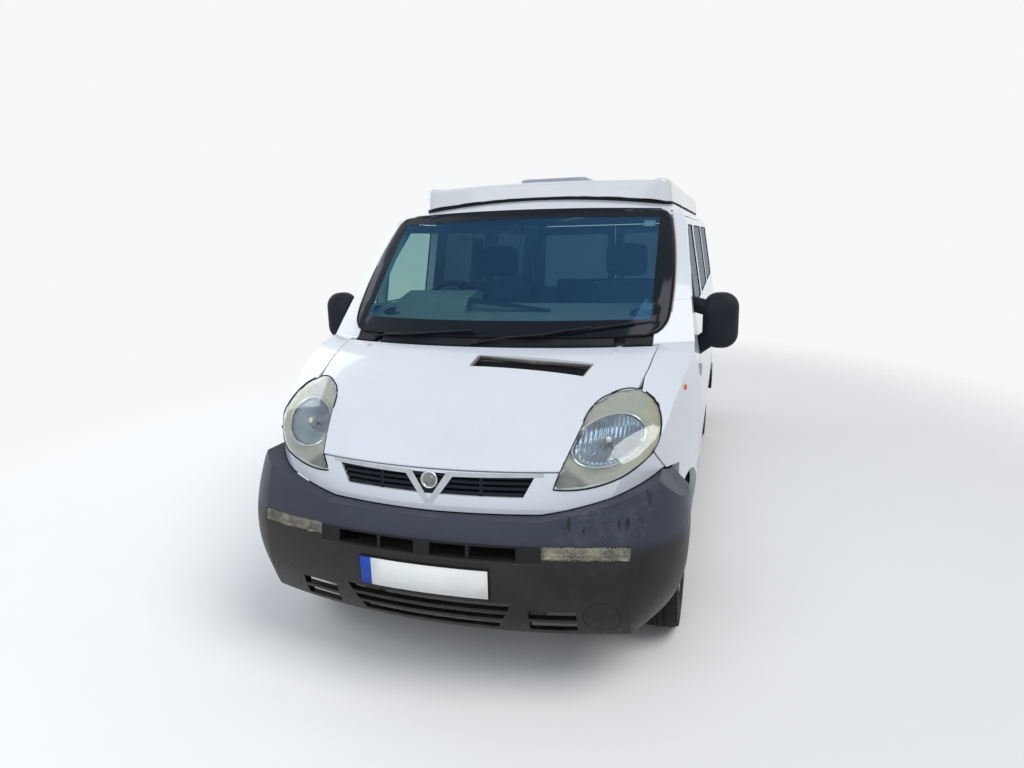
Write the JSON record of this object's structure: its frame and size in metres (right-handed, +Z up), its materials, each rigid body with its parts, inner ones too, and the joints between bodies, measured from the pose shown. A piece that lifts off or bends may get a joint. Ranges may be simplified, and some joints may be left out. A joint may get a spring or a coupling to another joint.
{
  "type": "camper van",
  "caption": "Panel-van camper with a low rear-hinged elevating roof, sloping nose, deep plastic bumpers, hinged cab and rear doors, steered front wheels and a fitted living space.",
  "frame": {"origin": "on the ground below the middle of the van's box", "axes": "-Y to the front of the van, +X to its left side, +Z up"},
  "size_m": [2.232, 4.783, 2.1399],
  "materials": {
    "body_paint": "white gloss paint",
    "cap_shell": "white moulded shell",
    "bumper_plastic": "dark grained plastic with water marks",
    "black_trim": "black plastic",
    "seal": "black rubber",
    "chrome": "polished",
    "glazing": "lightly tinted glass",
    "lamp_lens": "slightly yellowed clear lens",
    "indicator_lens": "clear lens",
    "tail_lens": "red lens",
    "tyre": "black",
    "wheel_steel": "silver paint",
    "chassis": "black underbody paint",
    "castings": "dull casting",
    "pipe": "weathered steel",
    "tank": "black plastic",
    "cab_plastic": "grey grained plastic",
    "upholstery": "woven cloth",
    "furniture": "laminated board",
    "canvas": "canvas"
  },
  "bodies": {
    "body": {"body_side_left": "body_paint", "body_side_right": "body_paint", "roof_panel": "body_paint", "wings": "body_paint", "front_panel": "body_paint", "sliding_door": "body_paint", "bumper_front": "bumper_plastic", "bumper_rear": "bumper_plastic", "grille": "black_trim", "scuttle": "black_trim", "wipers": "black_trim", "front_carrier": "black_trim", "roof_seal": "seal", "grille_trim": "chrome", "windscreen": "glazing", "side_glass": "glazing", "headlamps": "lamp_lens", "indicators": "indicator_lens", "tail_lamps": "tail_lens", "spare_wheel": "tyre", "floor_pan": "chassis", "bulkhead": "chassis", "subframe": "chassis", "tow_eye": "chassis", "rear_axle": "castings", "engine": "castings", "exhaust": "pipe", "fuel_tank": "tank", "dashboard": "cab_plastic", "seat_bases": "cab_plastic", "seats": "upholstery", "kitchen_unit": "furniture", "canvas": "canvas"},
    "bonnet": {"bonnet": "body_paint"},
    "door_left": {"door_left": "body_paint", "door_glass_left": "glazing", "mirror_left": "bumper_plastic"},
    "door_right": {"door_right": "body_paint", "door_glass_right": "glazing", "mirror_right": "bumper_plastic"},
    "rear_door_left": {"rear_door_left": "body_paint", "rear_glass_left": "glazing"},
    "rear_door_right": {"rear_door_right": "body_paint", "rear_glass_right": "glazing"},
    "pop_roof": {"pop_roof": "cap_shell"},
    "steering_wheel": {"steering_wheel": "cab_plastic"},
    "knuckle_left": {"knuckle_left": "castings"},
    "knuckle_right": {"knuckle_right": "castings"},
    "wheel_front_left": {"wheel_front_left": "wheel_steel", "tyre_front_left": "tyre"},
    "wheel_front_right": {"wheel_front_right": "wheel_steel", "tyre_front_right": "tyre"},
    "wheel_rear_left": {"wheel_rear_left": "wheel_steel", "tyre_rear_left": "tyre"},
    "wheel_rear_right": {"wheel_rear_right": "wheel_steel", "tyre_rear_right": "tyre"}
  },
  "joints": [
    {"name": "steer_left", "type": "hinge", "parent": "body", "child": "knuckle_left", "pos_m": [0.722, -1.558, 0.232], "axis": [-0.2149, 0, 0.9766], "range_deg": [-35, 35]},
    {"name": "steer_right", "type": "hinge", "parent": "body", "child": "knuckle_right", "pos_m": [-0.722, -1.558, 0.232], "axis": [0.2149, 0, 0.9766], "range_deg": [-35, 35]},
    {"name": "steering_wheel_turn", "type": "hinge", "parent": "body", "child": "steering_wheel", "pos_m": [-0.43, -0.79, 1.365], "axis": [0, 0.766, 0.6428], "range_deg": [-565, 565]},
    {"name": "wheel_front_left_roll", "type": "hinge", "parent": "knuckle_left", "child": "wheel_front_left", "pos_m": [0.8075, -1.558, 0.335], "axis": [1, 0, 0], "continuous": true},
    {"name": "wheel_front_right_roll", "type": "hinge", "parent": "knuckle_right", "child": "wheel_front_right", "pos_m": [-0.8075, -1.558, 0.335], "axis": [1, 0, 0], "continuous": true},
    {"name": "wheel_rear_left_roll", "type": "hinge", "parent": "body", "child": "wheel_rear_left", "pos_m": [0.815, 1.54, 0.335], "axis": [1, 0, 0], "continuous": true},
    {"name": "wheel_rear_right_roll", "type": "hinge", "parent": "body", "child": "wheel_rear_right", "pos_m": [-0.815, 1.54, 0.335], "axis": [1, 0, 0], "continuous": true},
    {"name": "door_left_swing", "type": "hinge", "parent": "body", "child": "door_left", "pos_m": [0.948, -1.176, 0.9], "axis": [0, 0, -1], "range_deg": [0, 65]},
    {"name": "door_right_swing", "type": "hinge", "parent": "body", "child": "door_right", "pos_m": [-0.948, -1.176, 0.9], "axis": [0, 0, 1], "range_deg": [0, 65]},
    {"name": "rear_door_left_swing", "type": "hinge", "parent": "body", "child": "rear_door_left", "pos_m": [0.82575, 2.32607, 0.56], "axis": [0, 0.0394, -0.9992], "range_deg": [0, 180]},
    {"name": "rear_door_right_swing", "type": "hinge", "parent": "body", "child": "rear_door_right", "pos_m": [-0.82575, 2.32607, 0.56], "axis": [0, -0.0394, 0.9992], "range_deg": [0, 180]},
    {"name": "bonnet_lift", "type": "hinge", "parent": "body", "child": "bonnet", "pos_m": [0, -1.482, 1.252], "axis": [-1, 0, 0], "range_deg": [0, 50]},
    {"name": "pop_roof_lift", "type": "hinge", "parent": "body", "child": "pop_roof", "pos_m": [0, 1.954, 1.958], "axis": [-1, 0, 0], "range_deg": [0, 22], "deforming": ["canvas"]}
  ],
  "couplings": [
    {"joint": "steer_right", "follows": "steer_left", "ratio": 1},
    {"joint": "steering_wheel_turn", "follows": "steer_left", "ratio": 16}
  ]
}
